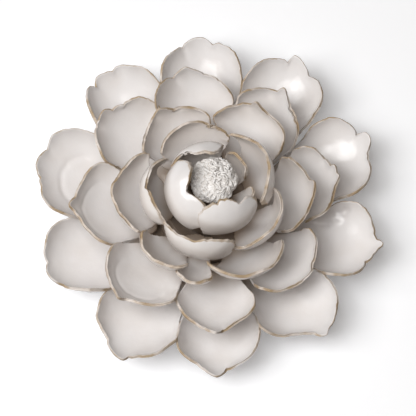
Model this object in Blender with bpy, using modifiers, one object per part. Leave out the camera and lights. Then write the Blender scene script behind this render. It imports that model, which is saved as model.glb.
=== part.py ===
# Hand-built ceramic flower that hangs on a wall. Every petal is a cupped slab of clay, luted by its
# root to a hollow stepped mound, which stands on a flat slab with a keyhole in its back.
# Frame: the slab's back face is z = 0, the flower's axis is +Z, and +Y is up on the wall.
# Lengths are in metres and angles in degrees.
import math
from collections import namedtuple

import bmesh
import bpy
from mathutils import Vector

COLLECTION_NAME = "ceramic_flower"

# Clay and fit
PETAL_THICKNESS = 0.0015
SEAT_GAP = 0.0003

# Slab at the back, with its hanging keyhole
SLAB_RADIUS = 0.032
SLAB_THICKNESS = 0.004
SLAB_EDGE_ROUND = 0.0008
SLAB_SEGMENTS = 48
KEYHOLE_ENTRY_RADIUS = 0.005
KEYHOLE_SLOT_WIDTH = 0.005
KEYHOLE_TRAVEL = 0.007
KEYHOLE_Y = 0.008
KEYHOLE_ENTRY_STEPS = 24
KEYHOLE_END_STEPS = 10

# Mound: each petal ring has a step of its own
MOUND_TOP_RADIUS = 0.015
MOUND_TREAD = 0.004
MOUND_RISE = 0.0065
MOUND_STEPS = 4
MOUND_WALL = 0.005
MOUND_SEGMENTS = 32

# Stamen clump on top of the mound
STAMEN_RADIUS = 0.0092
STAMEN_FOOT_RADIUS = 0.006
STAMEN_HEIGHT = 0.0192
STAMEN_CROWN = 0.0075
STAMEN_BUMP = 0.0004
STAMEN_SEGMENTS = 28
STAMEN_RINGS = 18
HEART_ROOT_CLEARANCE = 0.0015

# Length of a ring's petals along the middle and half their width across the curve
OUTER_LENGTH = 0.050
OUTER_HALF_WIDTH = 0.020
SECOND_LENGTH = 0.040
SECOND_HALF_WIDTH = 0.020
THIRD_LENGTH = 0.032
THIRD_HALF_WIDTH = 0.018
BUD_LENGTH = 0.032
BUD_HALF_WIDTH = 0.016
HEART_LENGTH = 0.032
HEART_HALF_WIDTH = 0.014

# Petal mesh and form
PETAL_CELLS = 8
ROOT_NARROWING = 0.25
FLOOR_DIP = 0.001
ROOT_SQUARENESS = 3.0
TIP_SPREAD = 9.0
NICK_OFFSET = 11.0
NICK_SPREAD = 5.0

GLAZE_COLOUR = (0.86, 0.83, 0.80, 1.0)
CLAY_COLOUR = (0.72, 0.66, 0.58, 1.0)
STAMEN_COLOUR = (0.84, 0.81, 0.77, 1.0)

# A ring's petals share its step, their length and half width, the rise of their middle line at the
# root and at the tip, the angle that each side curls up, how much they narrow to the root, how square
# the outer end is, and how far the pinched tip stands out, as a share of half the length.
Ring = namedtuple("Ring", "step length half_width start_rise end_rise cup taper square tip")
OUTER = Ring(
    0, OUTER_LENGTH, OUTER_HALF_WIDTH, start_rise=3, end_rise=33, cup=50, taper=0.5, square=2.2, tip=0.07
)
SECOND = Ring(
    1, SECOND_LENGTH, SECOND_HALF_WIDTH, start_rise=8, end_rise=54, cup=52, taper=0.5, square=2.2, tip=0.07
)
THIRD = Ring(
    2, THIRD_LENGTH, THIRD_HALF_WIDTH, start_rise=12, end_rise=72, cup=55, taper=0.5, square=2.3, tip=0.07
)
BUD = Ring(
    3, BUD_LENGTH, BUD_HALF_WIDTH, start_rise=5, end_rise=110, cup=50, taper=0.4, square=3.0, tip=0.03
)
HEART = Ring(
    4, HEART_LENGTH, HEART_HALF_WIDTH, start_rise=5, end_rise=160, cup=52, taper=0.3, square=2.5, tip=0.03
)

# One row for each petal: where it points from the axis, its length and half width as shares of its
# ring's, how far it is turned about its root, and how far its tip leans.
Petal = namedtuple("Petal", "name azimuth length_share width_share swing lean ring")


def petal_rows():
    """Every petal, ring by ring, with what differs from its ring."""
    return [
        Petal("outer_petal_01", 94, 1.060, 0.945, 0, 6, OUTER._replace(square=2.3)),
        Petal("outer_petal_02", 58.5, 1.060, 0.935, 0, 0, OUTER._replace(square=2.3)),
        Petal("outer_petal_03", 22.5, 1.010, 0.965, 0, 4, OUTER._replace(square=2.4)),
        Petal("outer_petal_04", -14, 0.990, 0.900, 0, 0, OUTER._replace(square=2.1, tip=0.10)),
        Petal("outer_petal_05", -51, 0.980, 0.950, 3, 0, OUTER._replace(square=2.5, tip=0.08)),
        Petal("outer_petal_06", -86.5, 1.030, 0.935, 0, 0, OUTER._replace(square=1.8, tip=0.10)),
        Petal("outer_petal_07", -122, 1.060, 0.950, 0, 0, OUTER._replace(square=1.9, tip=0.10)),
        Petal("outer_petal_08", -158, 1.020, 0.935, 0, 12, OUTER),
        Petal("outer_petal_09", 165.5, 1.050, 1.000, 0, 4, OUTER),
        Petal("outer_petal_10", 129.3, 1.060, 0.920, 0, 0, OUTER),
        Petal("second_petal_01", 98.5, 1.050, 0.885, 0, 4, SECOND._replace(square=2.0)),
        Petal("second_petal_02", 56, 1.012, 0.900, 0, 0, SECOND._replace(square=2.3)),
        Petal("second_petal_03", 9.5, 0.950, 0.925, 0, 8, SECOND),
        Petal("second_petal_04", -41, 0.912, 0.925, 0, 4, SECOND),
        Petal("second_petal_05", -88, 1.100, 0.900, 0, 0, SECOND._replace(square=1.8, tip=0.10)),
        Petal("second_petal_06", -131.5, 1.062, 0.975, 0, 2, SECOND),
        Petal("second_petal_07", -176.5, 1.075, 0.965, 0, 4, SECOND._replace(square=1.8, tip=0.10)),
        Petal("second_petal_08", 139.5, 1.087, 0.880, 0, 8, SECOND._replace(square=2.3)),
        Petal("third_petal_01", 118.5, 1.000, 0.972, 0, 12, THIRD._replace(square=2.8)),
        Petal("third_petal_02", 60, 1.062, 1.000, 0, 0, THIRD),
        Petal("third_petal_03", -1.5, 1.062, 1.083, 0, 6, THIRD._replace(square=2.0, tip=0.10)),
        Petal("third_petal_04", -57, 1.062, 0.978, -4, 2, THIRD._replace(start_rise=6, end_rise=84, square=3.0)),
        Petal("third_petal_05", -101.5, 1.016, 0.450, 0, 0, THIRD._replace(end_rise=78, tip=0.03)),
        Petal("third_petal_06", -130, 0.984, 0.630, -10, 0, THIRD._replace(end_rise=86, square=3.0)),
        Petal("third_petal_07", 180, 0.969, 0.990, 0, 0, THIRD._replace(square=2.1)),
        Petal("bud_petal_01", 184, 1.000, 0.894, 0, 0, BUD._replace(end_rise=127, cup=56)),
        Petal("bud_petal_02", 108, 0.847, 1.075, -2, 0, BUD._replace(start_rise=13, end_rise=102)),
        Petal("bud_petal_03", 30, 0.922, 1.035, -8, 0, BUD._replace(start_rise=19, end_rise=117)),
        Petal("bud_petal_04", -36, 1.028, 1.045, 0, 5, BUD._replace(end_rise=115, cup=57)),
        Petal("bud_petal_05", -101, 1.094, 1.000, -4, -3, BUD._replace(end_rise=133, cup=54)),
        Petal("heart_petal_01", 208, 1.125, 1.090, -9, 6, HEART),
        Petal("heart_petal_02", -62, 1.188, 0.950, -12, 0, HEART._replace(end_rise=158, cup=40)),
        Petal("heart_petal_03", 112, 1.019, 0.871, -6, 10, HEART._replace(cup=44)),
        Petal("heart_petal_04", 43, 0.688, 0.540, 0, 0, HEART._replace(start_rise=20, end_rise=110)),
        Petal("heart_petal_05", -13, 0.562, 0.380, 0, 0, HEART._replace(start_rise=20, end_rise=90)),
    ]


def clear_scene():
    for old in list(bpy.data.objects):
        bpy.data.objects.remove(old, do_unlink=True)


def new_collection(name):
    collection = bpy.data.collections.new(name)
    bpy.context.scene.collection.children.link(collection)
    return collection


def principled(name, colour, roughness):
    material = bpy.data.materials.new(name)
    material.use_nodes = True
    shader = material.node_tree.nodes["Principled BSDF"]
    shader.inputs["Base Color"].default_value = colour
    shader.inputs["Roughness"].default_value = roughness
    shader.inputs["Metallic"].default_value = 0.0
    return material


def add_object(name, mesh, collection, material):
    part = bpy.data.objects.new(name, mesh)
    collection.objects.link(part)
    if material:
        mesh.materials.clear()
        mesh.materials.append(material)
    return part


def step_top(step):
    """Height of the clay that a ring's roots stand on; step 0 is the slab."""
    return SLAB_THICKNESS + step * MOUND_RISE


def step_wall_radius(step):
    """Radius of the mound wall behind a ring's roots."""
    if step == MOUND_STEPS:
        return STAMEN_FOOT_RADIUS + HEART_ROOT_CLEARANCE
    return MOUND_TOP_RADIUS + (MOUND_STEPS - 1 - step) * MOUND_TREAD


def outline_reach(angle, square, tip):
    """Distance of the rim from the middle of the unit petal; angle 0 is the tip."""
    power = square if math.cos(angle) > 0 else ROOT_SQUARENESS
    rim = (abs(math.cos(angle)) ** power + abs(math.sin(angle)) ** power) ** (-1 / power)
    peak = tip * math.exp(-((angle / math.radians(TIP_SPREAD)) ** 2))
    nick = 0.5 * tip * math.exp(-(((angle - math.radians(NICK_OFFSET)) / math.radians(NICK_SPREAD)) ** 2))
    return rim * (1 + peak - nick)


def petal_point(petal, a, b):
    """Point of the petal's inner face, root at the origin and tip along +X, for a square of -1 to 1."""
    ring = petal.ring
    x = a * math.sqrt(1 - b * b / 2)
    y = b * math.sqrt(1 - a * a / 2)
    angle = math.atan2(y, x)
    reach = math.hypot(x, y) * outline_reach(angle, ring.square, ring.tip)
    angle += math.radians(petal.lean) * (1 + math.cos(angle)) / 2
    x = reach * math.cos(angle)
    y = reach * math.sin(angle)

    widest = ring.half_width * petal.width_share
    half_width = widest * (1 + ring.taper * x) / (1 + ROOT_NARROWING * ring.taper)
    start = math.radians(ring.start_rise)
    bend = math.radians(ring.end_rise) - start
    rise = start + bend * (x + 1) / 2
    spine_radius = ring.length * petal.length_share / bend
    along = spine_radius * (math.sin(rise) - math.sin(start))
    up = spine_radius * (math.cos(start) - math.cos(rise))

    cup_radius = widest / math.radians(ring.cup)
    turn = y * half_width / cup_radius
    lift = cup_radius * (1 - math.cos(turn))
    face = Vector((along - lift * math.sin(rise), cup_radius * math.sin(turn), up + lift * math.cos(rise)))
    # The floor is flatter and the walls are steeper than plain arcs; the rim stays where it is
    inward = Vector((-math.sin(rise) * math.cos(turn), -math.sin(turn), math.cos(rise) * math.cos(turn)))
    share = math.hypot(a * math.sqrt(1 - b * b / 2), b * math.sqrt(1 - a * a / 2))
    return face - 4 * FLOOR_DIP * (share ** 2 - share ** 4) * inward


def make_petal(petal, collection, material):
    mesh = bpy.data.meshes.new(petal.name)
    form = bmesh.new()
    bmesh.ops.create_grid(form, x_segments=PETAL_CELLS, y_segments=PETAL_CELLS, size=1)
    for vert in form.verts:
        vert.co = petal_point(petal, vert.co.x, vert.co.y)
    form.to_mesh(mesh)
    form.free()
    mesh.shade_smooth()
    part = add_object(petal.name, mesh, collection, material)
    clay = part.modifiers.new("clay_thickness", "SOLIDIFY")
    clay.thickness = PETAL_THICKNESS
    clay.offset = -1

    azimuth = math.radians(petal.azimuth)
    root = step_wall_radius(petal.ring.step) + SEAT_GAP
    height = step_top(petal.ring.step) + SEAT_GAP + PETAL_THICKNESS
    part.location = (root * math.cos(azimuth), root * math.sin(azimuth), height)
    part.rotation_euler.z = azimuth + math.radians(petal.swing)
    return part


def make_keyhole_cutter(collection):
    """Entry hole with a narrower slot above it, as one outline."""
    half_slot = KEYHOLE_SLOT_WIDTH / 2
    mouth = math.asin(half_slot / KEYHOLE_ENTRY_RADIUS)
    first = math.pi / 2 + mouth
    sweep = 2 * (math.pi - mouth)
    outline = []
    for k in range(KEYHOLE_ENTRY_STEPS + 1):
        angle = first + sweep * k / KEYHOLE_ENTRY_STEPS
        outline.append((KEYHOLE_ENTRY_RADIUS * math.cos(angle), KEYHOLE_Y + KEYHOLE_ENTRY_RADIUS * math.sin(angle)))
    for k in range(KEYHOLE_END_STEPS + 1):
        angle = math.pi * k / KEYHOLE_END_STEPS
        outline.append((half_slot * math.cos(angle), KEYHOLE_Y + KEYHOLE_TRAVEL + half_slot * math.sin(angle)))

    curve = bpy.data.curves.new("keyhole_outline", "CURVE")
    curve.dimensions = "2D"
    curve.fill_mode = "BOTH"
    curve.extrude = SLAB_THICKNESS
    spline = curve.splines.new("POLY")
    spline.points.add(len(outline) - 1)
    for point, (x, y) in zip(spline.points, outline):
        point.co = (x, y, 0, 1)
    spline.use_cyclic_u = True
    guide = add_object("keyhole_outline", curve, collection, None)
    guide.location.z = SLAB_THICKNESS / 2
    bpy.context.view_layer.update()
    mesh = bpy.data.meshes.new_from_object(guide.evaluated_get(bpy.context.evaluated_depsgraph_get()))
    weld = bmesh.new()
    weld.from_mesh(mesh)
    bmesh.ops.remove_doubles(weld, verts=weld.verts, dist=1e-6)
    bmesh.ops.recalc_face_normals(weld, faces=weld.faces)
    weld.to_mesh(mesh)
    weld.free()
    cutter = add_object("keyhole_cutter", mesh, collection, None)
    cutter.matrix_world = guide.matrix_world
    bpy.data.objects.remove(guide)
    cutter.hide_render = True
    cutter.display_type = "WIRE"
    return cutter


def make_slab(collection, cutters, material):
    mesh = bpy.data.meshes.new("back_slab")
    form = bmesh.new()
    bmesh.ops.create_cone(
        form, cap_ends=True, segments=SLAB_SEGMENTS, radius1=SLAB_RADIUS, radius2=SLAB_RADIUS, depth=SLAB_THICKNESS
    )
    bmesh.ops.translate(form, verts=form.verts, vec=(0, 0, SLAB_THICKNESS / 2))
    form.to_mesh(mesh)
    form.free()
    slab = add_object("back_slab", mesh, collection, material)
    edge = slab.modifiers.new("soft_edge", "BEVEL")
    edge.width = SLAB_EDGE_ROUND
    edge.segments = 2
    edge.limit_method = "ANGLE"
    keyhole = slab.modifiers.new("keyhole", "BOOLEAN")
    keyhole.operation = "DIFFERENCE"
    keyhole.object = make_keyhole_cutter(cutters)
    mesh.shade_smooth()
    mesh.set_sharp_from_angle(angle=math.radians(40))
    return slab


def make_mound(collection, material):
    """Stepped dome, hollow from below, turned from one profile that starts and ends on the axis."""
    top = step_top(MOUND_STEPS)
    bottom = SLAB_THICKNESS + SEAT_GAP
    profile = [(0, top)]
    for step in range(MOUND_STEPS - 1, -1, -1):
        profile.append((step_wall_radius(step), step_top(step + 1)))
        profile.append((step_wall_radius(step), max(step_top(step), bottom)))
    roof = top - MOUND_WALL
    profile.append((step_wall_radius(0) - MOUND_WALL, bottom))
    profile.append((MOUND_TOP_RADIUS - MOUND_WALL, roof))
    profile.append((0, roof))

    mesh = bpy.data.meshes.new("hollow_mound")
    form = bmesh.new()
    verts = [form.verts.new((radius, 0, height)) for radius, height in profile]
    for first, second in zip(verts, verts[1:]):
        form.edges.new((first, second))
    form.to_mesh(mesh)
    form.free()
    mound = add_object("hollow_mound", mesh, collection, material)
    turn = mound.modifiers.new("turned", "SCREW")
    turn.steps = MOUND_SEGMENTS
    turn.render_steps = MOUND_SEGMENTS
    turn.use_merge_vertices = True
    turn.merge_threshold = 0.00005
    turn.use_smooth_shade = False
    return mound


def make_stamen(collection, material):
    """Domed clump of fine clay threads on a narrower foot."""
    mesh = bpy.data.meshes.new("stamen_clump")
    form = bmesh.new()
    bmesh.ops.create_uvsphere(form, u_segments=STAMEN_SEGMENTS, v_segments=STAMEN_RINGS, radius=1)
    shoulder = STAMEN_HEIGHT - STAMEN_CROWN
    for vert in form.verts:
        x, y, z = vert.co
        flat = math.hypot(x, y)
        around = math.atan2(y, x)
        if z >= 0:
            ruffle = STAMEN_BUMP * math.sin(6 * around + 9 * z) * math.cos(7 * around - 11 * z) * flat
            radius = STAMEN_RADIUS * flat + ruffle
            height = shoulder + STAMEN_CROWN * z + STAMEN_BUMP * math.sin(5 * around) * math.sin(8 * flat)
        else:
            depth = min(-z, 1)
            blunt = (1 - depth ** 8) ** (1 / 8)
            radius = (STAMEN_RADIUS + (STAMEN_FOOT_RADIUS - STAMEN_RADIUS) * depth) * blunt
            height = shoulder * (1 - depth)
        vert.co = (radius * math.cos(around), radius * math.sin(around), height)
    form.to_mesh(mesh)
    form.free()
    mesh.shade_smooth()
    stamen = add_object("stamen_clump", mesh, collection, material)
    stamen.location.z = step_top(MOUND_STEPS) + SEAT_GAP
    return stamen


def main():
    clear_scene()
    parts = new_collection(COLLECTION_NAME)
    cutters = new_collection("cutters")
    glaze = principled("ivory_glaze", GLAZE_COLOUR, 0.2)
    clay = principled("bare_clay", CLAY_COLOUR, 0.8)
    stamen_glaze = principled("stamen_glaze", STAMEN_COLOUR, 0.45)
    make_slab(parts, cutters, clay)
    make_mound(parts, glaze)
    make_stamen(parts, stamen_glaze)
    for petal in petal_rows():
        make_petal(petal, parts, glaze)


main()
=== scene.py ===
import math
import random

import bpy
import numpy as np
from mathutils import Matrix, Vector


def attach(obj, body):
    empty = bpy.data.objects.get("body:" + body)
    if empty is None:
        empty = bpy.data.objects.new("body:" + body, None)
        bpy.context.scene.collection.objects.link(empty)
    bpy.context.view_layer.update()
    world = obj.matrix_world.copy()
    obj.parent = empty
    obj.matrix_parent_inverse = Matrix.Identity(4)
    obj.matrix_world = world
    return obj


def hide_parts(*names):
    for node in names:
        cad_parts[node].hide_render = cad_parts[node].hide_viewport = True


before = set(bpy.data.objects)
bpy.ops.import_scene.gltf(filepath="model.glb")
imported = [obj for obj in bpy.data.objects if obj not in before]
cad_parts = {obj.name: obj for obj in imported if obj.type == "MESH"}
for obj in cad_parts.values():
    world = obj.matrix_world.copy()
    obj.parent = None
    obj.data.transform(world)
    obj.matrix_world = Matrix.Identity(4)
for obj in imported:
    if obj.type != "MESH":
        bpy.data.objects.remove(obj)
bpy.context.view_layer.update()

# Hand-built ceramic flower: cupped petals in five rings round a tuft of clay threads.
# Metres and degrees. Angles round a petal are counted from its tip, with its left side positive.

bpy.ops.object.select_all(action="DESELECT")


# Small helpers


def pickOnly(piece):
    bpy.ops.object.select_all(action="DESELECT")
    piece.select_set(True)
    bpy.context.view_layer.objects.active = piece


def applyAll(piece):
    pickOnly(piece)
    for step in list(piece.modifiers):
        bpy.ops.object.modifier_apply(modifier=step.name)


def weldAndTurnOut(piece, distance):
    pickOnly(piece)
    bpy.ops.object.mode_set(mode="EDIT")
    bpy.ops.mesh.select_all(action="SELECT")
    bpy.ops.mesh.remove_doubles(threshold=distance)
    bpy.ops.mesh.normals_make_consistent(inside=False)
    bpy.ops.object.mode_set(mode="OBJECT")


def shadeSmooth(piece):
    pickOnly(piece)
    bpy.ops.object.shade_smooth()


def dress(piece, name, node, material):
    piece.name = name
    piece.data.name = name
    piece.data.materials.clear()
    piece.data.materials.append(material)
    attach(piece, "root")
    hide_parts(node)


def smoothStep(low, high, value):
    t = np.clip((value - low) / (high - low), 0, 1)
    return t * t * (3 - 2 * t)


# Shader nodes


def newMaterial(name):
    material = bpy.data.materials.new(name)
    material.use_nodes = True
    return material, material.node_tree, material.node_tree.nodes["Principled BSDF"]


def objectCoords(tree):
    return tree.nodes.new("ShaderNodeTexCoord").outputs["Object"]


def attributeNode(tree, name):
    attribute = tree.nodes.new("ShaderNodeAttribute")
    attribute.attribute_name = name
    return attribute.outputs["Fac"]


def noiseNode(tree, coords, scale, detail, roughness=0.5):
    noise = tree.nodes.new("ShaderNodeTexNoise")
    noise.inputs["Scale"].default_value = scale
    noise.inputs["Detail"].default_value = detail
    noise.inputs["Roughness"].default_value = roughness
    tree.links.new(coords, noise.inputs["Vector"])
    return noise.outputs["Fac"]


def rangeNode(tree, value, fromLow, fromHigh, toLow, toHigh):
    remap = tree.nodes.new("ShaderNodeMapRange")
    remap.interpolation_type = "SMOOTHSTEP"
    ends = {"From Min": fromLow, "From Max": fromHigh, "To Min": toLow, "To Max": toHigh}
    for name, number in ends.items():
        remap.inputs[name].default_value = number
    tree.links.new(value, remap.inputs["Value"])
    return remap.outputs["Result"]


def mathNode(tree, kind, first, second):
    node = tree.nodes.new("ShaderNodeMath")
    node.operation = kind
    for socket, value in zip(node.inputs, (first, second)):
        if isinstance(value, (int, float)):
            socket.default_value = value
        else:
            tree.links.new(value, socket)
    return node.outputs[0]


def mixNode(tree, factor, first, second):
    mix = tree.nodes.new("ShaderNodeMix")
    mix.data_type = "RGBA"
    tree.links.new(factor, mix.inputs[0])
    for socket, value in ((mix.inputs[6], first), (mix.inputs[7], second)):
        if isinstance(value, tuple):
            socket.default_value = (*value, 1)
        else:
            tree.links.new(value, socket)
    return mix.outputs[2]


def bumpNode(tree, height, distance):
    bump = tree.nodes.new("ShaderNodeBump")
    bump.inputs["Distance"].default_value = distance
    bump.inputs["Strength"].default_value = 1
    tree.links.new(height, bump.inputs["Height"])
    return bump.outputs["Normal"]


# Glazes and clay

glazeLook = {
    "milk": (0.82, 0.795, 0.785),     # thick glaze on the floors of the petals
    "warm": (0.79, 0.755, 0.735),     # thinner glaze on walls
    "cloudScale": 70,                 # how finely the two are mottled
    "cloudRange": (0.35, 0.7),        # where the noise turns from one to the other
    "thin": (0.62, 0.53, 0.45),       # glaze run thin on steep walls, and painted shade on the walls of the cups
    "thinAndShadeShare": 0.40,
    "thinAndShadeRange": (0.80, 0.20),        # how far the face looks up, from where it starts to full
    "root": (0.40, 0.305, 0.225),     # painted shade: dark brown down towards the root, where it dips under the next ring
    "rootShadeShare": 0.9,
    "rootShadeRange": (-0.25, -0.95),      # from the middle of a petal down to its root at -1
    "tan": (0.40, 0.29, 0.17),        # bare clay showing where the glaze breaks on a rim
    "rimWidth": 0.00045,
    "fullyBare": 0.25,                # share of that width with no glaze left
    "rimWander": 0.0010,              # how far the edge of the bare clay wanders
    "wanderScale": 420,
    "bareRange": (0.25, 0.95),        # the least and the most that the clay shows along a rim
    "bareScale": 130,
    "roughness": 0.20,
    "roughSpread": (-0.03, 0.04),
    "rimRoughness": 0.60,
    "ripple": 0.00010,
    "rippleScale": 260,
    "ior": 1.5,
}
# Painted shade: a dark glaze for the mound, standing in for the shade deep between the petals.
paintedShadeLook = dict(glazeLook, milk=(0.20, 0.155, 0.12), warm=(0.11, 0.08, 0.055), roughness=0.35)


def rimBreaksAndPaintedShade(tree, coords, look, colour, roughness):
    # Bare clay where the glaze breaks on a rim, plus painted shade on steep walls and near the root.
    wander = noiseNode(tree, coords, look["wanderScale"], 4, 0.65)
    spread = mathNode(tree, "MULTIPLY", mathNode(tree, "SUBTRACT", wander, 0.5), look["rimWander"])
    edge = mathNode(tree, "ADD", attributeNode(tree, "rimDistance"), spread)
    bare = rangeNode(tree, edge, look["rimWidth"] * look["fullyBare"], look["rimWidth"], 1, 0)
    patch = noiseNode(tree, coords, look["bareScale"], 2)
    bare = mathNode(tree, "MULTIPLY", bare, rangeNode(tree, patch, 0.35, 0.65, *look["bareRange"]))
    # Thin glaze and painted shade: steep walls turn a darker tan.
    colour = mixNode(tree, attributeNode(tree, "steepThinningAndShade"), colour, look["thin"])
    # Painted shade: the lower half of each petal darkens towards its root, where the next ring shades it.
    colour = mixNode(tree, attributeNode(tree, "paintedRootShade"), colour, look["root"])
    colour = mixNode(tree, bare, colour, look["tan"])
    rougher = mathNode(tree, "MULTIPLY", bare, look["rimRoughness"] - look["roughness"])
    return colour, mathNode(tree, "ADD", roughness, rougher)


def makeGlaze(name, look, readsRim):
    material, tree, shader = newMaterial(name)
    coords = objectCoords(tree)
    cloud = noiseNode(tree, coords, look["cloudScale"], 3)
    colour = mixNode(tree, rangeNode(tree, cloud, *look["cloudRange"], 0, 1), look["milk"], look["warm"])
    smooth, rough = (look["roughness"] + change for change in look["roughSpread"])
    roughness = rangeNode(tree, cloud, 0.2, 0.8, smooth, rough)
    if readsRim:
        colour, roughness = rimBreaksAndPaintedShade(tree, coords, look, colour, roughness)
    tree.links.new(colour, shader.inputs["Base Color"])
    tree.links.new(roughness, shader.inputs["Roughness"])
    shader.inputs["IOR"].default_value = look["ior"]
    ripple = noiseNode(tree, coords, look["rippleScale"], 2)
    tree.links.new(bumpNode(tree, ripple, look["ripple"]), shader.inputs["Normal"])
    return material


clayLook = {
    "base": (0.60, 0.52, 0.43),
    "dark": (0.47, 0.39, 0.31),
    "cloudScale": 60,
    "grogScale": 900,
    "grain": 0.00018,
    "roughness": 0.85,
}


def makeBareClay(look):
    material, tree, shader = newMaterial("bareClay")
    coords = objectCoords(tree)
    grog = noiseNode(tree, coords, look["grogScale"], 3, 0.7)
    cloud = noiseNode(tree, coords, look["cloudScale"], 3)
    halfGrog = mathNode(tree, "MULTIPLY", grog, 0.5)
    both = mathNode(tree, "ADD", halfGrog, mathNode(tree, "MULTIPLY", cloud, 0.5))
    colour = mixNode(tree, rangeNode(tree, both, 0.38, 0.62, 0, 1), look["dark"], look["base"])
    tree.links.new(colour, shader.inputs["Base Color"])
    shader.inputs["Roughness"].default_value = look["roughness"]
    tree.links.new(bumpNode(tree, grog, look["grain"]), shader.inputs["Normal"])
    return material


stamenLook = {
    "light": (0.87, 0.85, 0.83),
    "grey": (0.75, 0.71, 0.67),
    "fleckScale": 900,
    "grain": 0.0002,
    "roughness": 0.35,
}


def makeStamenGlaze(look):
    material, tree, shader = newMaterial("stamenGlaze")
    fleck = noiseNode(tree, objectCoords(tree), look["fleckScale"], 4, 0.7)
    colour = mixNode(tree, rangeNode(tree, fleck, 0.38, 0.56, 0, 1), look["grey"], look["light"])
    tree.links.new(colour, shader.inputs["Base Color"])
    shader.inputs["Roughness"].default_value = look["roughness"]
    tree.links.new(bumpNode(tree, fleck, look["grain"]), shader.inputs["Normal"])
    return material


glaze = makeGlaze("ivoryGlaze", glazeLook, True)
paintedShadeGlaze = makeGlaze("paintedShadeGlaze", paintedShadeLook, False)     # painted shade: dark glaze on the mound, deep between the petals
bareClay = makeBareClay(clayLook)
stamenGlaze = makeStamenGlaze(stamenLook)
print("materials made")

# Petals

clay = {
    "thickness": 0.0012,
    "lip": 0.0006,             # how far in from the rim the edge rounds over
    "cells": 72,
    "rimCrowding": 1.35,       # rows of the grid lie closer towards the rim
    "flutter": 0.00035,        # slow waves along a rim pinched by hand
    "handWaves": 0.00020,      # and across the face
    "nickDent": 0.005,         # how far the face sinks beside a nick of depth 1
    "foldSoftness": 0.0006,
    "dipRange": (-0.6, 0.3),   # the floor flattens from near the root to past the middle
    "bareOutside": 0.0007,     # bare clay reaches further down the outside of a rim
    "hiddenRim": 0.002,        # keeps bare clay off the rim where the root is luted on
    "hiddenRange": (0.1, -0.35),
    "rootGap": 0.0003,
    "weld": 0.00002,
}

rimCut = {
    "plainFrom": 125,               # degrees from the tip where the root begins
    "blur": 0.9,                    # degrees that round off the corners between handles
    "waves": range(9, 60, 5),       # cut by hand: never quite smooth
    "waveDepth": 0.012,
    "waveShare": (0.3, 1),
    "nickWidth": 1.6,
    "chips": 8,
    "chipDepth": (0.003, 0.010),
    "chipSpread": (1.7, 3.2),
    "chipLimit": 1.5,
}

mound = {"slab": 0.004, "rise": 0.0065, "topRadius": 0.015, "tread": 0.004, "heartRadius": 0.0075, "steps": 4}

# What a petal has unless its ring or its own row says otherwise
plainForm = dict(swing=0, lean=0, creases=(), folds=(), dents=(), pool=None, flare=0, flareFrom=0.3, inset=0,
                 rootSquare=3.0)

ringForms = {
    "outer": dict(step=0, startRise=3, endRise=33, cup=50, taper=0.5, square=2.2, dip=0.0016, torn=1.0,
        rootSquare=7),
    "second": dict(step=1, startRise=8, endRise=54, cup=52, taper=0.5, square=2.2, dip=0.0012, torn=1.2,
        rootSquare=5),
    "third": dict(step=2, startRise=12, endRise=72, cup=55, taper=0.5, square=2.3, dip=0.0008, torn=1.8),
    "bud": dict(step=3, startRise=5, endRise=110, cup=50, taper=0.4, square=3.0, dip=0.0006, torn=2.2),
    "heart": dict(step=4, startRise=5, endRise=160, cup=52, taper=0.3, square=2.5, dip=0.0004, torn=1.8),
}

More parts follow.
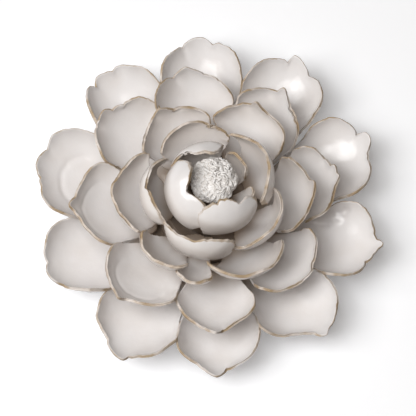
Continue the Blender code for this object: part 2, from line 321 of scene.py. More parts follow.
# Each petal: where it points, its length and half width, and its rim as (angle, reach) handles.
# nicks: (angle, depth, spread). creases: (angle, where it begins, depth, spread).
# dents: (angle, reach, height, size). folds: the angle and reach of the line's two ends, and the lift.
# pool: (reach, depth, size, middle angle, sweep).
petalForms = {
    "outer_petal_01": dict(azimuth=94, length=0.0530, halfWidth=0.0189, lean=6, square=2.3,
        rim=[(-96, 0.94), (-87, 1.07), (-76, 1.06), (-60, 1.03), (-34, 1.02), (-25, 1.02), (-20, 0.98),
             (-10, 1.07), (-6, 1.08), (2, 1.07), (9, 1.03), (14, 1.00), (24, 1.01), (36, 1.04), (49, 1.07),
             (66, 1.08)],
        nicks=[(11.5, 0.05, 1.2), (-20, 0.03, 1.5)],
        creases=[(12, 0.60, 0.0006, 5)],
        folds=[(12, 1.0, 62, 0.80, 0.005)]),
    "outer_petal_02": dict(azimuth=58.5, length=0.0530, halfWidth=0.0187, square=2.3,
        rim=[(-91, 0.93), (-77, 0.96), (-51, 0.97), (-25, 0.98), (-12, 0.93), (-2, 1.03), (6, 1.10),
             (10, 1.12), (13, 1.04), (15, 0.97), (18, 0.99), (32, 1.00), (53, 1.05), (68, 1.11), (76, 1.14)],
        nicks=[(15, 0.04, 1.2), (-15, 0.02, 2)],
        creases=[(15, 0.70, 0.0004, 5)]),
    "outer_petal_03": dict(azimuth=22.5, length=0.0505, halfWidth=0.0193, lean=4, square=2.4,
        rim=[(-83, 1.04), (-70, 1.20), (-56, 1.08), (-40, 0.95), (-19, 0.88), (-9, 0.95), (-2, 1.07),
             (4, 1.10), (8, 1.07), (12, 0.95), (16, 0.94), (29, 0.97), (41, 0.99), (58, 1.01), (74, 1.04),
             (87, 0.96)],
        nicks=[(13, 0.06, 1.2), (-12, 0.03, 2)],
        creases=[(13, 0.70, 0.0005, 5)],
        dents=[(20, 0.55, 0.0004, 0.16)]),
    "outer_petal_04": dict(azimuth=-14, length=0.0495, halfWidth=0.0180, square=2.1,
        rim=[(-94, 1.05), (-83, 1.16), (-66, 1.26), (-48, 1.20), (-38, 1.12), (-23, 0.93), (-9, 0.98),
             (-3, 1.02), (0, 1.10), (4, 1.09), (7, 0.98), (11, 0.91), (25, 0.93), (42, 0.99), (58, 1.04),
             (73, 1.05), (83, 1.03), (91, 0.95)],
        nicks=[(6, 0.05, 1.2), (-22, 0.05, 1.5)],
        creases=[(-22, 0.75, 0.0004, 5)],
        dents=[(70, 0.78, -0.0016, 0.10), (100, 0.50, -0.0013, 0.11), (84, 0.62, 0.0010, 0.13)]),
    "outer_petal_05": dict(azimuth=-51, length=0.0490, halfWidth=0.0190, swing=3, square=2.5,
        rim=[(-97, 1.15), (-73, 1.24), (-62, 1.09), (-51, 0.94), (-37, 0.82), (-19, 0.84), (-10, 0.92),
             (-6, 1.08), (-2, 1.14), (2, 1.06), (11, 1.02), (23, 0.96), (37, 0.92), (53, 0.92), (68, 0.94),
             (81, 1.04)],
        nicks=[(-9, 0.04, 1.5), (6, 0.02, 1.5)],
        creases=[(-9, 0.75, 0.0005, 5)],
        dents=[(107, 0.34, 0.0006, 0.08), (75, 0.31, 0.0006, 0.08), (46, 0.36, 0.0005, 0.08)]),
    "outer_petal_06": dict(azimuth=-86.5, length=0.0515, halfWidth=0.0187, square=1.8,
        rim=[(-66, 1.17), (-55, 1.14), (-42, 1.03), (-29, 0.94), (-14, 1.01), (-5, 1.07), (0, 0.98),
             (5, 0.88), (18, 0.88), (34, 0.94), (49, 1.01), (73, 1.08), (81, 1.09)],
        nicks=[(5, 0.05, 1.5)],
        creases=[(5, 0.70, 0.0005, 6)]),
    "outer_petal_07": dict(azimuth=-122, length=0.0530, halfWidth=0.0190, square=1.9,
        rim=[(-90, 1.08), (-77, 1.07), (-58, 1.02), (-42, 1.01), (-31, 0.94), (-17, 0.89), (-4, 1.00),
             (4, 1.06), (11, 1.10), (14, 1.00), (24, 1.03), (37, 1.16), (48, 1.24), (60, 1.23), (68, 1.26),
             (94, 0.98)],
        nicks=[(14, 0.05, 1.2), (-14, 0.03, 2)],
        creases=[(14, 0.75, 0.0004, 5)],
        folds=[(14, 1.0, 55, 0.90, 0.006)]),
    "outer_petal_08": dict(azimuth=-158, length=0.0510, halfWidth=0.0187, lean=12,
        rim=[(-84, 1.08), (-70, 1.04), (-47, 1.05), (-41, 1.02), (-18, 0.99), (-9, 1.04), (-3, 1.06),
             (3, 1.05), (9, 1.01), (20, 0.99), (35, 1.07), (47, 1.22), (58, 1.19), (69, 1.14), (80, 1.10)],
        nicks=[(-18, 0.05, 2), (12, 0.04, 1.5)],
        creases=[(-18, 0.70, 0.0004, 6)],
        folds=[(12, 1.0, 55, 0.86, 0.006)]),
    "outer_petal_09": dict(azimuth=165.5, length=0.0525, halfWidth=0.0200, lean=4,
        rim=[(-77, 1.11), (-63, 1.06), (-50, 1.07), (-39, 1.08), (-30, 1.10), (-24, 1.05), (-15, 1.04),
             (-8, 1.07), (-1, 1.08), (6, 1.03), (20, 0.96), (38, 1.06), (50, 1.18), (59, 1.20), (69, 1.20)],
        nicks=[(-20, 0.07, 1.5), (10, 0.05, 1.5)],
        creases=[(-20, 0.70, 0.0005, 5), (-38, 0.62, 0.0004, 8)],
        pool=(0.56, 0.0005, 0.05, 8, 75)),
    "outer_petal_10": dict(azimuth=129.3, length=0.0530, halfWidth=0.0184,
        rim=[(-73, 1.18), (-63, 1.14), (-51, 1.11), (-40, 1.08), (-32, 1.07), (-18, 1.05), (-15.5, 0.99),
             (-12, 1.01), (-3, 1.05), (3, 1.05), (7, 1.00), (9.5, 0.93), (13, 1.02), (18, 1.05), (33, 1.02),
             (51, 1.05), (68, 1.06)],
        nicks=[(9, 0.04, 1.5)],
        creases=[(-24, 0.70, 0.0005, 6)],
        folds=[(8, 1.0, 66, 0.62, 0.009)]),
    "second_petal_01": dict(azimuth=98.5, length=0.0420, halfWidth=0.0177, lean=4, square=2.0,
        rim=[(-76, 1.06), (-64, 1.02), (-51, 0.97), (-38, 0.94), (-21, 0.93), (-13, 0.97), (-3, 1.08),
             (0, 1.14), (3, 1.12), (14, 1.02), (17, 1.00), (21, 1.08), (29, 1.16), (38, 1.20), (53, 1.20),
             (60, 1.18)],
        nicks=[(16, 0.04, 1.5), (-18, 0.03, 1.5)],
        creases=[(16, 0.60, 0.0009, 7)]),
    "second_petal_02": dict(azimuth=56, length=0.0400, halfWidth=0.0172, square=2.3,
        rim=[(-90, 1.10), (-70, 0.96), (-50, 0.86), (-33, 0.80), (-15, 0.79), (-4, 0.97), (-1, 1.06),
             (2, 1.17), (5, 1.12), (9, 0.97), (17, 0.96), (36, 1.02), (46, 1.07), (60, 1.08), (68, 1.04)],
        nicks=[],
        creases=[(18, 0.55, 0.0012, 8), (-14, 0.7, 0.0005, 7)]),
    "second_petal_03": dict(azimuth=9.5, length=0.0375, halfWidth=0.0180, lean=8,
        rim=[(-92, 1.03), (-62, 0.91), (-45, 0.86), (-25, 0.81), (-15, 0.88), (-10, 1.00), (-6, 1.10),
             (-3, 1.02), (1, 1.08), (5, 1.10), (8, 0.97), (25, 0.93), (36, 1.05), (45, 1.06), (65, 1.12),
             (78, 1.13)],
        nicks=[(22, 0.05, 1.5), (-10, 0.03, 1.5)],
        creases=[(22, 0.65, 0.0006, 6)]),
    "second_petal_04": dict(azimuth=-41, length=0.0365, halfWidth=0.0185, lean=4,
        rim=[(-103, 1.05), (-71, 1.00), (-52, 0.90), (-29, 0.82), (-4, 0.90), (5, 0.95), (15, 0.86),
             (35, 0.90), (48, 1.02), (59, 1.07), (79, 1.10)],
        nicks=[(12, 0.03, 2), (-8, 0.03, 1.5)]),
    "second_petal_05": dict(azimuth=-88, length=0.0440, halfWidth=0.0180, square=1.8,
        rim=[(-80, 1.05), (-60, 1.00), (-30, 0.88), (-12, 0.92), (-3, 1.04), (0, 1.12), (3, 1.02), (8, 0.91),
             (32, 0.92), (55, 1.08), (79, 1.10)],
        nicks=[(8, 0.05, 1.5), (-12, 0.03, 1.5)],
        creases=[(8, 0.65, 0.0006, 6)]),
    "second_petal_06": dict(azimuth=-131.5, length=0.0425, halfWidth=0.0195, lean=2,
        rim=[(-87, 1.10), (-69, 1.02), (-44, 0.90), (-21, 0.85), (-6, 0.98), (0, 1.10), (3, 1.04), (6, 0.91),
             (17, 0.88), (35, 0.92), (51, 1.06), (61, 1.10)],
        nicks=[(5, 0.06, 1.5)],
        creases=[(5, 0.65, 0.0006, 6)],
        pool=(0.62, 0.0003, 0.05, 0, 80)),
    "second_petal_07": dict(azimuth=-176.5, length=0.0430, halfWidth=0.0193, lean=4, square=1.8,
        rim=[(-94, 1.15), (-76, 1.15), (-64, 1.12), (-51, 1.06), (-34, 0.94), (-12, 0.93), (-5, 1.07),
             (-2, 1.10), (1, 0.96), (13, 0.85), (34, 0.90), (49, 1.06), (59, 1.12)],
        nicks=[(1, 0.07, 1.5)],
        creases=[(1, 0.60, 0.0007, 6)],
        pool=(0.66, 0.0003, 0.05, 0, 70)),
    "second_petal_08": dict(azimuth=139.5, length=0.0435, halfWidth=0.0176, lean=8, square=2.3,
        rim=[(-77, 1.14), (-66, 1.08), (-46, 1.04), (-37, 0.95), (-16, 0.92), (-7, 1.08), (1, 1.04),
             (11, 1.00), (23, 0.99), (37, 0.98), (52, 1.03), (68, 1.01), (87, 0.90)],
        nicks=[(12, 0.06, 1.5), (-14, 0.05, 1.5), (-30, 0.04, 1.5)],
        creases=[(12, 0.7, 0.0005, 6)],
        dents=[(-28, 0.92, 0.0006, 0.06)]),
    "third_petal_01": dict(azimuth=118.5, length=0.0320, halfWidth=0.0175, lean=12, square=2.8,
        rim=[(-85, 1.10), (-71, 1.06), (-47, 0.91), (-24, 0.80), (-13, 1.00), (-8, 1.15), (-4, 1.04),
             (3, 0.95), (27, 0.84), (46, 0.97), (53, 1.03)],
        nicks=[(0, 0.06, 1.5), (-33, 0.05, 1.5)],
        creases=[(0, 0.60, 0.0006, 6), (-33, 0.7, 0.0005, 6)]),
    "third_petal_02": dict(azimuth=60, length=0.0335, halfWidth=0.0175,
        rim=[(-102, 1.10), (-65, 1.08), (-42, 1.08), (-31, 1.05), (-16, 0.90), (-4, 0.93), (3, 1.08),
             (6, 1.20), (9, 1.10), (15, 0.92), (31, 0.91), (43, 1.00), (60, 1.07), (73, 1.11)],
        nicks=[(12, 0.04, 2)],
        creases=[(20, 0.55, 0.0009, 9)]),
    "third_petal_03": dict(azimuth=-1.5, length=0.0330, halfWidth=0.0188, lean=6, square=2.0,
        rim=[(-90, 0.95), (-60, 0.93), (-30, 0.86), (-12, 0.88), (-5, 1.02), (-1, 1.16), (2, 1.22),
             (5, 1.08), (10, 0.94), (17, 0.89), (32, 0.98), (40, 1.08), (53, 1.12), (72, 1.14)],
        nicks=[(-5, 0.04, 2)]),
    "third_petal_04": dict(azimuth=-57, length=0.0318, halfWidth=0.0176, swing=-4, lean=2, startRise=6,
        endRise=83, square=3.0, flare=0.04, flareFrom=0.2,
        rim=[(-85, 1.22), (-55, 1.24), (-32, 1.25), (-26, 1.19), (-8, 1.08), (0, 1.09), (8, 1.02),
             (28, 0.96), (55, 0.90), (85, 0.85)],
        nicks=[(-18, 0.04, 2), (14, 0.03, 2)]),
    "third_petal_05": dict(azimuth=-101.5, length=0.0325, halfWidth=0.0081, endRise=78,
        rim=[(0, 1.03)],
        nicks=[(-12, 0.03, 4)]),
    "third_petal_06": dict(azimuth=-126, length=0.0315, halfWidth=0.0122, swing=-8, endRise=86, square=3.0,
        rim=[(-80, 1.05), (-30, 0.97), (0, 1.03), (30, 1.04), (60, 1.16), (85, 1.15)],
        nicks=[(-22, 0.05, 3), (4, 0.05, 3), (24, 0.04, 3)]),
    "third_petal_07": dict(azimuth=180, length=0.0310, halfWidth=0.0178, square=2.1,
        rim=[(-95, 1.22), (-83, 1.32), (-68, 1.24), (-60, 1.18), (-44, 1.08), (-35, 0.96), (-21, 0.90),
             (-8, 1.05), (-2, 1.06), (3, 0.94), (17, 0.86), (38, 0.88), (51, 0.98), (70, 1.06)],
        nicks=[(-13, 0.03, 2), (5, 0.03, 2)],
        creases=[(4, 0.60, 0.0006, 7)]),
    "bud_petal_01": dict(azimuth=184, length=0.0320, halfWidth=0.0143, endRise=127, cup=56,
        rim=[(-85, 1.12), (-55, 1.30), (-38, 1.26), (-28, 1.12), (-22, 1.14), (-4, 0.93), (2, 0.90),
             (6, 1.02), (28, 1.20), (55, 1.15), (85, 1.07)],
        nicks=[(-24, 0.04, 3), (-3, 0.05, 3), (20, 0.04, 3)]),
    "bud_petal_02": dict(azimuth=108, length=0.0252, halfWidth=0.0172, swing=-2, startRise=13, endRise=102,
        flare=0.12, flareFrom=0,
        rim=[(-85, 1.0), (-55, 0.90), (-28, 0.76), (0, 0.95), (28, 0.92), (55, 0.92), (85, 0.95)],
        nicks=[(-20, 0.03, 3), (12, 0.02, 3)]),
    "bud_petal_03": dict(azimuth=30, length=0.0295, halfWidth=0.0166, swing=-8, startRise=19, endRise=117,
        rim=[(-85, 1.07), (-55, 1.17), (-28, 1.30), (0, 1.06), (28, 0.90), (55, 1.20), (85, 1.09)],
        nicks=[(-30, 0.03, 2), (-12, 0.03, 2), (6, 0.03, 2), (22, 0.03, 2)]),
    "bud_petal_04": dict(azimuth=-36, length=0.0312, halfWidth=0.0163, lean=5, endRise=112, cup=57,
        flare=0.07, flareFrom=0,
        rim=[(-85, 1.12), (-55, 0.84), (-28, 0.97), (0, 0.90), (28, 1.08), (55, 1.18), (85, 0.9)],
        nicks=[(-26, 0.04, 3), (-4, 0.03, 3), (24, 0.03, 3)]),
    "bud_petal_05": dict(azimuth=-101, length=0.0350, halfWidth=0.0160, swing=-4, lean=-3, endRise=133,
        cup=54,
        rim=[(-85, 1.07), (-55, 1.15), (-28, 0.96), (0, 0.94), (28, 1.08), (55, 1.08), (85, 1.07)],
        nicks=[(-24, 0.04, 4), (0, 0.04, 4), (26, 0.04, 3)]),
    "heart_petal_01": dict(azimuth=208, length=0.0360, halfWidth=0.0153, swing=-9, lean=6, inset=0.0010,
        rim=[(-85, 1.04), (-55, 1.10), (-28, 1.32), (-20, 1.26), (-17, 1.16), (-12, 1.12), (0, 0.92),
             (4, 0.93), (8, 1.03), (13, 1.20), (19, 1.33), (28, 1.41), (42, 1.40), (55, 1.30), (70, 1.2),
             (85, 1.15)],
        nicks=[(-26, 0.04, 3), (-6, 0.04, 2)],
        creases=[(-18, 0.45, 0.0005, 6)]),
    "heart_petal_02": dict(azimuth=-62, length=0.0380, halfWidth=0.0133, swing=-12, endRise=158, cup=40,
        rim=[(-85, 0.86), (-55, 0.98), (-28, 1.00), (-14, 1.00), (-11, 0.93), (-8, 1.00), (6, 1.0),
             (18, 0.94), (28, 0.86), (36, 1.06), (55, 1.18), (85, 1.14)],
        nicks=[(24, 0.03, 3)]),
    "heart_petal_03": dict(azimuth=112, length=0.0326, halfWidth=0.0122, swing=-6, lean=10, cup=44,
        rim=[(-85, 0.95), (-55, 0.92), (-28, 1.08), (0, 0.98), (28, 0.72), (55, 1.20), (85, 1.04)],
        nicks=[(-14, 0.04, 3), (16, 0.04, 3)]),
    "heart_petal_04": dict(azimuth=43, length=0.0212, halfWidth=0.0068, startRise=20, endRise=110,
        rim=[(0, 1.0)],
        nicks=[(-20, 0.04, 4)]),
    "heart_petal_05": dict(azimuth=-13, length=0.0175, halfWidth=0.0047, startRise=20, endRise=90,
        rim=[(0, 1.0)],
        nicks=[]),
}


def stepTop(step):
    return mound["slab"] + step * mound["rise"]


def wallRadius(step):
    if step == mound["steps"]:
        return mound["heartRadius"]
    return mound["topRadius"] + (mound["steps"] - 1 - step) * mound["tread"]


def rimReach(form, angle, chance):
    power = np.where(np.cos(angle) > 0, form["square"], form["rootSquare"])
    base = (np.abs(np.cos(angle)) ** power + np.abs(np.sin(angle)) ** power) ** (-1 / power)
    degree = np.degrees(angle)
    root = rimCut["plainFrom"]
    handles = [(-180, 1), (-root, 1), *sorted(form["rim"]), (root, 1), (180, 1)]
    whole = np.arange(-180, 181)
    shape = np.interp(whole, [handle[0] for handle in handles], [handle[1] for handle in handles])
    kernel = np.exp(-0.5 * (np.arange(-5, 6) / rimCut["blur"]) ** 2)
    shape = np.convolve(np.pad(shape, 5, mode="edge"), kernel / kernel.sum(), mode="valid")
    detail = np.interp(degree, whole, shape) - 1
    for at, depth, spread in form["nicks"]:
        detail -= depth / (1 + ((degree - at) / (rimCut["nickWidth"] * spread)) ** 2)
    for wave in rimCut["waves"]:
        size = form["torn"] * rimCut["waveDepth"] / wave ** 0.5 * chance.uniform(*rimCut["waveShare"])
        detail += size * np.sin(wave * angle + chance.uniform(0, 6.3))
    for _ in range(int(rimCut["chips"] * form["torn"])):
        at = chance.uniform(-100, 100)
        depth = chance.uniform(*rimCut["chipDepth"])
        spread = chance.uniform(*rimCut["chipSpread"])
        depth *= min(form["torn"], rimCut["chipLimit"])
        detail -= depth * np.exp(-((degree - at) / spread) ** 2)
    return base, detail


def bendAndCup(form, x, y, halfWidth):
    start = math.radians(form["startRise"])
    bend = math.radians(form["endRise"]) - start
    rise = start + bend * (x + 1) / 2
    spine = form["length"] / bend
    flare = form["flare"] * np.clip(x - form["flareFrom"], 0, None) ** 2 * form["length"]
    along = spine * (np.sin(rise) - math.sin(start)) + flare * np.sin(rise)
    up = spine * (math.cos(start) - np.cos(rise)) - flare * np.cos(rise)
    cupRadius = form["halfWidth"] / math.radians(form["cup"])
    turn = y * halfWidth / cupRadius
    lift = cupRadius * (1 - np.cos(turn))
    return np.stack([along - lift * np.sin(rise), cupRadius * np.sin(turn), up + lift * np.cos(rise)], -1)


def faceRelief(form, angle, inward, x, y, chance):
    # a flatter floor, a dent beside each nick, and creases that run in from the rim
    floor = 4 * (inward ** 2 - inward ** 4) * smoothStep(*clay["dipRange"], x)
    relief = -form["dip"] * floor
    degree = np.degrees(angle)
    for at, depth, spread in form["nicks"]:
        beside = np.exp(-((degree - at) / (spread * 3)) ** 2)
        relief -= depth * clay["nickDent"] * beside * smoothStep(0.7, 1, inward)
    for at, begin, depth, spread in form["creases"]:
        beside = np.exp(-((degree - at) / spread) ** 2)
        relief -= depth * beside * smoothStep(begin, 1, inward)

    # flaps folded up past a line, round dents, and the ring where glaze has pooled
    discX = inward * np.cos(angle)
    discY = inward * np.sin(angle)
    for oneAngle, oneReach, twoAngle, twoReach, lift in form["folds"]:
        one = oneReach * np.exp(1j * math.radians(oneAngle))
        two = twoReach * np.exp(1j * math.radians(twoAngle))
        away = -1j * (two - one) / abs(two - one)
        beyond = (discX - one.real) * away.real + (discY - one.imag) * away.imag
        relief += lift * (np.sqrt(beyond ** 2 + clay["foldSoftness"]) + beyond) / 2
    for at, reach, height, size in form["dents"]:
        spot = reach * np.exp(1j * math.radians(at))
        gap = (discX - spot.real) ** 2 + (discY - spot.imag) ** 2
        relief += height * np.exp(-gap / size ** 2)
    if form["pool"]:
        reach, depth, size, middle, sweep = form["pool"]
        shown = smoothStep(1.15, 0.85, np.abs(degree - middle) / sweep)
        relief -= depth * shown * np.exp(-((inward - reach) / size) ** 2)

    # slow waves left by the hands, across the face and along the rim
    for _ in range(3):
        heading, wave = chance.uniform(0, 6.3), chance.uniform(3, 6)
        slow = np.sin(wave * (x * math.cos(heading) + y * math.sin(heading)) + chance.uniform(0, 6.3))
        relief += clay["handWaves"] * slow * (0.3 + 0.7 * inward ** 2)
    for wave in (5, 8, 13):
        flutter = clay["flutter"] * chance.uniform(0.4, 1) * 5 / wave
        relief += flutter * np.sin(wave * angle + chance.uniform(0, 6.3)) * inward ** 5
    return relief


def petalPoints(form, a, b, chance):
    # the square grid becomes a disc, the disc the petal's plan, and the plan is bent and cupped
    x = a * np.sqrt(1 - b * b / 2)
    y = b * np.sqrt(1 - a * a / 2)
    angle = np.arctan2(y, x)
    inward = np.hypot(x, y)
    base, detail = rimReach(form, angle, chance)
    reach = inward * base * (1 + detail * inward ** 3)
    turned = angle + math.radians(form["lean"]) * (1 + np.cos(angle)) / 2
    x = reach * np.cos(turned)
    y = reach * np.sin(turned)
    halfWidth = form["halfWidth"] * (1 + form["taper"] * x) / (1 + 0.25 * form["taper"])
    points = bendAndCup(form, x, y, halfWidth)
    relief = faceRelief(form, angle, inward, x, y, chance)
    rimDistance = (1 - inward) * 0.5 * (halfWidth + form["length"] / 2)
    return points, relief, inward, rimDistance


def faceNormals(points):
    across = np.gradient(points, axis=0)
    along = np.gradient(points, axis=1)
    normal = np.cross(along, across)
    normal /= np.maximum(np.linalg.norm(normal, axis=-1, keepdims=True), 1e-12)
    for edge, inner in ((0, 2), (1, 2), (-1, -3), (-2, -3)):     # the grid's corners fold flat on the rim
        normal[edge, :] = normal[inner, :]
        normal[:, edge] = normal[:, inner]
    return normal


def placeOnMound(form, points):
    azimuth = math.radians(form["azimuth"])
    heading = azimuth + math.radians(form["swing"])
    root = wallRadius(form["step"]) + clay["rootGap"] - form["inset"]
    px, py, pz = points[..., 0], points[..., 1], points[..., 2]
    return np.stack([
        root * math.cos(azimuth) + px * math.cos(heading) - py * math.sin(heading),
        root * math.sin(azimuth) + px * math.sin(heading) + py * math.cos(heading),
        pz + stepTop(form["step"]) + clay["rootGap"] + clay["thickness"],
    ], -1)


def crowdToRim(place):
    return np.sign(place) * (1 - (1 - np.abs(place)) ** clay["rimCrowding"])


def addGrid():
    cells = clay["cells"]
    bpy.ops.object.select_all(action="DESELECT")
    bpy.ops.mesh.primitive_grid_add(x_subdivisions=cells, y_subdivisions=cells, size=2)
    grid = bpy.context.active_object
    flat = np.empty(len(grid.data.vertices) * 3)
    grid.data.vertices.foreach_get("co", flat)
    flat = flat.reshape(-1, 3)
    order = np.lexsort((np.round(flat[:, 0], 5), np.round(flat[:, 1], 5)))     # row by row
    a = flat[order, 0].reshape(cells + 1, cells + 1)
    b = flat[order, 1].reshape(cells + 1, cells + 1)
    return grid, order, crowdToRim(a), crowdToRim(b)


def inVertexOrder(order, values):
    flat = np.empty(len(order))
    flat[order] = values.ravel()
    return flat


def giveWall(petal, fullness):
    group = petal.vertex_groups.new(name="clay")
    for k, weight in enumerate(fullness):
        group.add([k], float(weight), "REPLACE")
    wall = petal.modifiers.new("wall", "SOLIDIFY")
    wall.thickness = clay["thickness"]
    wall.offset = -1
    wall.vertex_group = "clay"
    applyAll(petal)
    petal.vertex_groups.clear()


def bareTheOutside(petal, faceCount):
    shell = petal.data.attributes["rimDistance"].data
    distances = np.empty(len(shell))
    shell.foreach_get("value", distances)
    outside = distances[faceCount:]     # the wall's outer points come after the face's own
    distances[faceCount:] = np.maximum(0, outside - clay["bareOutside"])
    shell.foreach_set("value", distances)


def makePetal(node, settings):
    form = {**plainForm, **ringForms[node.split("_")[0]], **settings}
    chance = random.Random(node)
    petal, order, a, b = addGrid()
    points, relief, inward, rimDistance = petalPoints(form, a, b, chance)
    near = np.clip(1 - rimDistance / clay["lip"], 0, 1)
    fullness = np.sqrt(np.clip(1 - near ** 2, 0, 1))     # the wall thins over its lip
    relief = relief - clay["thickness"] * 0.5 * (1 - fullness)
    normal = faceNormals(points)
    placed = np.empty((len(order), 3))
    placed[order] = placeOnMound(form, points + normal * relief[..., None]).reshape(-1, 3)
    petal.data.vertices.foreach_set("co", placed.ravel())
    petal.data.update()

    hidden = smoothStep(*clay["hiddenRange"], inward * a)
    upward = np.abs(normal[..., 2])
    shares = {
        "rimDistance": rimDistance + clay["hiddenRim"] * hidden,
        # steep walls: thin glaze plus painted shade
        "steepThinningAndShade": glazeLook["thinAndShadeShare"] * smoothStep(*glazeLook["thinAndShadeRange"], upward),
        # painted shade towards the root
        "paintedRootShade": glazeLook["rootShadeShare"] * smoothStep(*glazeLook["rootShadeRange"], a),
    }
    for name, values in shares.items():
        attribute = petal.data.attributes.new(name, "FLOAT", "POINT")
        attribute.data.foreach_set("value", inVertexOrder(order, values))
    giveWall(petal, inVertexOrder(order, fullness))
    bareTheOutside(petal, len(order))
    weldAndTurnOut(petal, clay["weld"])
    shadeSmooth(petal)
    dress(petal, "glazed_" + node, node, glaze)


for node, settings in petalForms.items():
    makePetal(node, settings)
print("petals made")

# Stamen clump

stamen = {
    "centre": (0.0009, 0.0016),
    "radius": 0.0100,
    "height": 0.0222,
    "crown": 0.0060,
    "coreShare": 0.93,          # the smooth core, as a share of the radius
    "waist": 0.2,               # how much the core narrows down to its foot
    "footShare": 0.9,           # where the threads are rooted, as a share of the radius
    "coreCrown": 0.9,           # heights of the core and of the feet, as shares of the crown
    "footCrown": 0.85,
    "skirt": 0.006,             # how far below the shoulder the lowest threads start
    "reachDown": 1.05,
    "upwardLean": 0.2,
    "threads": 480,
    "threadTurn": 2.39996,      # radians from one thread to the next, as seeds are set in a sunflower
    "threadRadius": 0.00042,
    "threadLength": 0.0034,
    "threadSides": 6,
    "threadRows": 6,
    "threadEnds": 0.55,         # how thin a thread is at its ends
    "threadSink": 0.0001,
    "curl": 0.0008,
    "curlSlope": 0.0022,
    "lumps": 0.0010,
    "weld": 0.000001,
}


def makeCore(form, low, shoulder):
    bpy.ops.object.select_all(action="DESELECT")
    bpy.ops.mesh.primitive_uv_sphere_add(segments=96, ring_count=64, radius=1)
    core = bpy.context.active_object
    for vert in core.data.vertices:
        x, y, z = vert.co
        if z >= 0:
            wide = form["radius"] * form["coreShare"]
            vert.co = (x * wide, y * wide, shoulder + form["crown"] * form["coreCrown"] * z)
        else:
            narrow = form["radius"] * (form["coreShare"] + form["waist"] * z)
            vert.co = (x * narrow, y * narrow, low + clay["rootGap"] + (shoulder - low) * (1 + z))
    return core


def threadFoot(form, shoulder, k, chance):
    height = 1 - (k + 0.5) / form["threads"] * form["reachDown"]
    around = k * form["threadTurn"] + chance.uniform(-0.3, 0.3)
    flat = math.sqrt(max(0, 1 - height * height))
    wide = form["radius"] * form["footShare"] * (flat if height >= 0 else 1)
    tall = form["crown"] * form["footCrown"] if height >= 0 else form["skirt"]
    foot = Vector((wide * math.cos(around), wide * math.sin(around), shoulder + tall * height))
    upward = max(height, 0) + form["upwardLean"]
    outward = Vector((flat * math.cos(around), flat * math.sin(around), upward)).normalized()
    foot += outward * form["lumps"] * math.sin(3 * around + 5 * height) * math.cos(4 * height + 2 * around)
    return foot, outward


def makeThread(form, foot, outward, chance, first):
    aside = Vector((chance.uniform(-1, 1), chance.uniform(-1, 1), chance.uniform(-1, 1)))
    side = outward.cross(aside).normalized()
    length = form["threadLength"] * chance.uniform(0.5, 1.2)
    radius = form["threadRadius"] * chance.uniform(0.8, 1.3)
    sides, rows = form["threadSides"], form["threadRows"]
    verts, faces = [], []
    for row in range(rows + 1):
        t = row / rows
        arch = math.sin(math.pi * t) * form["curl"] * chance.uniform(0.9, 1.1)
        centre = foot + side * (t - 0.5) * length + outward * (arch - form["threadSink"])
        ahead = (side * length + outward * math.cos(math.pi * t) * form["curlSlope"]).normalized()
        crossOne = ahead.cross(outward).normalized()
        crossTwo = ahead.cross(crossOne)
        size = radius * (form["threadEnds"] if row in (0, rows) else 1)
        for corner in range(sides):
            turn = 2 * math.pi * corner / sides
            verts.append(centre + (crossOne * math.cos(turn) + crossTwo * math.sin(turn)) * size)
    for row in range(rows):
        for corner in range(sides):
            one = first + row * sides + corner
            two = first + row * sides + (corner + 1) % sides
            faces.append((one, two, two + sides, one + sides))
    faces.append(tuple(first + corner for corner in reversed(range(sides))))
    faces.append(tuple(first + rows * sides + corner for corner in range(sides)))
    return verts, faces


def makeStamen(form):
    chance = random.Random("stamen")
    low = stepTop(mound["steps"])
    shoulder = low + form["height"] - form["crown"]
    core = makeCore(form, low, shoulder)
    verts, faces = [], []
    for k in range(form["threads"]):
        foot, outward = threadFoot(form, shoulder, k, chance)
        threadVerts, threadFaces = makeThread(form, foot, outward, chance, len(verts))
        verts += threadVerts
        faces += threadFaces
    mesh = bpy.data.meshes.new("threads")
    mesh.from_pydata([tuple(vert) for vert in verts], [], faces)
    threads = bpy.data.objects.new("threads", mesh)
    bpy.context.scene.collection.objects.link(threads)
    for vert in (*core.data.vertices, *mesh.vertices):
        vert.co.x += form["centre"][0]
        vert.co.y += form["centre"][1]
    pickOnly(core)
    threads.select_set(True)
    bpy.ops.object.join()
    weldAndTurnOut(core, form["weld"])
    shadeSmooth(core)
    dress(core, "thread_clump", "stamen_clump", stamenGlaze)


makeStamen(stamen)
print("stamen made")

# Parts kept from the solid model

# The mound takes the dark glaze as painted shade between the petals.
for node, material in (("back_slab", bareClay), ("hollow_mound", paintedShadeGlaze)):
    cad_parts[node].data.materials.clear()
    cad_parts[node].data.materials.append(material)
print("slab and mound coloured")

# Floor, lamps and camera

studio = {
    "floor": (0.93, 0.94, 0.96),
    "floorSize": 12,
    "floorDrop": 0.0002,
    "floorGlow": 0.14,            # lifts only what the camera sees of the floor, so it reads white
    "worldLight": 0.10,
    "worldTint": (1.0, 0.84, 0.70),
    "lampAim": (0, 0, 0.02),
    "key": dict(power=8.4, size=0.65, place=(-0.68, -0.20, 1.02)),
    "overhead": dict(power=7.2, size=0.65, place=(-0.20, -0.22, 1.20)),
}


def showToCamera(tree, plain, seen, output):
    choose = tree.nodes.new("ShaderNodeMixShader")
    tree.links.new(tree.nodes.new("ShaderNodeLightPath").outputs["Is Camera Ray"], choose.inputs[0])
    tree.links.new(plain, choose.inputs[1])
    tree.links.new(seen, choose.inputs[2])
    tree.links.new(choose.outputs[0], tree.nodes[output].inputs["Surface"])


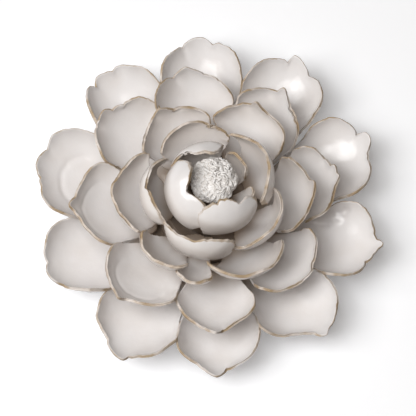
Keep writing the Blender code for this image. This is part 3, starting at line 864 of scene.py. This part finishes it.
def makeFloor(form):
    bpy.ops.object.select_all(action="DESELECT")
    bpy.ops.mesh.primitive_plane_add(size=form["floorSize"], location=(0, 0, -form["floorDrop"]))
    floor = bpy.context.active_object
    floor.name = "floor"
    material, tree, shader = newMaterial("whiteFloor")
    shader.inputs["Base Color"].default_value = (*form["floor"], 1)
    shader.inputs["Roughness"].default_value = 1
    shader.inputs["Specular IOR Level"].default_value = 0
    glow = tree.nodes.new("ShaderNodeEmission")
    glow.inputs["Strength"].default_value = form["floorGlow"]
    both = tree.nodes.new("ShaderNodeAddShader")
    tree.links.new(shader.outputs[0], both.inputs[0])
    tree.links.new(glow.outputs[0], both.inputs[1])
    showToCamera(tree, shader.outputs[0], both.outputs[0], "Material Output")
    floor.data.materials.append(material)


def makeWorld(form):
    world = bpy.data.worlds.new("studio")
    bpy.context.scene.world = world
    world.use_nodes = True
    tree = world.node_tree
    tree.nodes["Background"].inputs["Strength"].default_value = form["worldLight"]
    tree.nodes["Background"].inputs["Color"].default_value = (*form["worldTint"], 1)
    white = tree.nodes.new("ShaderNodeBackground")
    white.inputs["Color"].default_value = (1, 1, 1, 1)
    showToCamera(tree, tree.nodes["Background"].outputs[0], white.outputs[0], "World Output")


def makeLamp(name, lamp, aim):
    bpy.ops.object.light_add(type="AREA", location=lamp["place"])
    softbox = bpy.context.active_object
    softbox.name = name
    softbox.data.size = lamp["size"]
    softbox.data.energy = lamp["power"]
    softbox.rotation_euler = (Vector(aim) - softbox.location).to_track_quat("-Z", "Y").to_euler()


view = {
    "elevation": 70,
    "distance": 0.95,
    "target": (-0.0013, -0.0008, 0.020),
    "lens": 190,
    "sensor": 36,
    "nearest": 0.01,
}


def makeCamera(form):
    tilt = math.radians(form["elevation"])
    back = Vector((0, -math.cos(tilt), math.sin(tilt)))
    bpy.ops.object.camera_add(location=Vector(form["target"]) + back * form["distance"])
    camera = bpy.context.active_object
    camera.data.lens = form["lens"]
    camera.data.sensor_width = form["sensor"]
    camera.data.clip_start = form["nearest"]
    camera.rotation_euler = (-back).to_track_quat("-Z", "Y").to_euler()
    bpy.context.scene.camera = camera


makeFloor(studio)
makeWorld(studio)
makeLamp("key", studio["key"], studio["lampAim"])
makeLamp("overhead", studio["overhead"], studio["lampAim"])
makeCamera(view)
bpy.context.scene.view_settings.view_transform = "Standard"
print("studio set")
